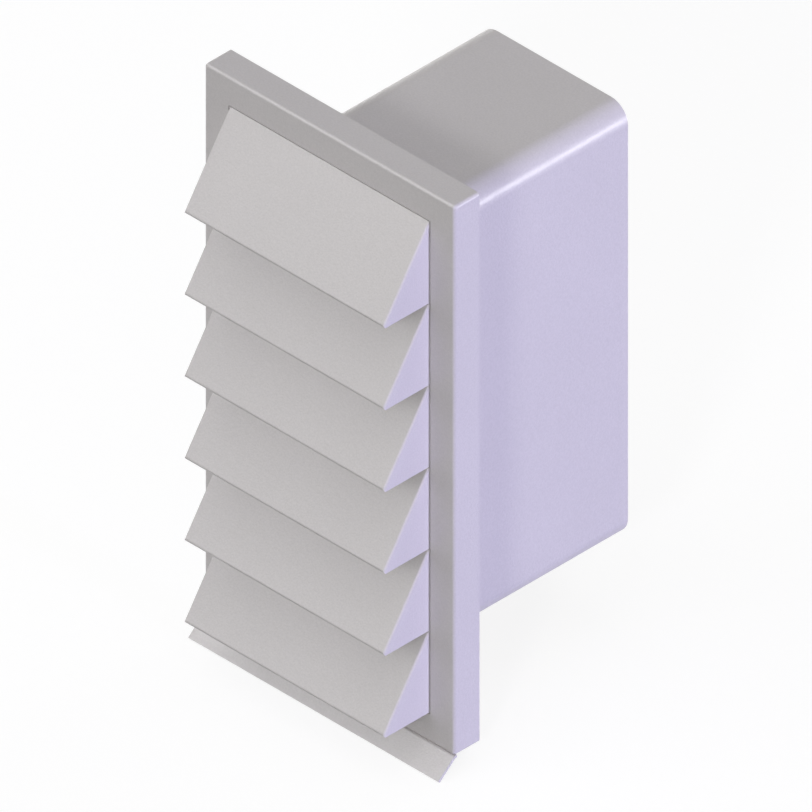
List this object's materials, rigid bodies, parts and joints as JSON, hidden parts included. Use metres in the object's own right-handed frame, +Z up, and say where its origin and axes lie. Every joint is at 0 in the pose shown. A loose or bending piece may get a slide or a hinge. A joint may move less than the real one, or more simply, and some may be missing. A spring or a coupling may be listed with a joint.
{
  "type": "facade vent grille",
  "caption": "Louvred facade vent grille: folded sheet-metal cover with sloping blades and a drip edge, on a wall plate with a rounded rectangular spigot for a flat duct.",
  "frame": {"origin": "middle of the duct spigot, on the wall surface, which is the back face of the wall plate", "axes": "+Y into the wall along the duct, +Z up, +X to the right as seen from outside"},
  "size_m": [0.15, 0.162, 0.2943],
  "materials": {
    "powder_coat": "satin",
    "galvanised_wire": "satin",
    "stainless_steel": "satin"
  },
  "bodies": {
    "root": {"face_frame": "powder_coat", "louvre_1": "powder_coat", "louvre_2": "powder_coat", "louvre_3": "powder_coat", "louvre_4": "powder_coat", "louvre_5": "powder_coat", "louvre_6": "powder_coat", "drip_edge": "powder_coat", "wall_plate": "powder_coat", "duct_spigot": "powder_coat", "bird_guard": "galvanised_wire", "cover_screws": "stainless_steel", "cover_nuts": "stainless_steel"}
  },
  "joints": []
}
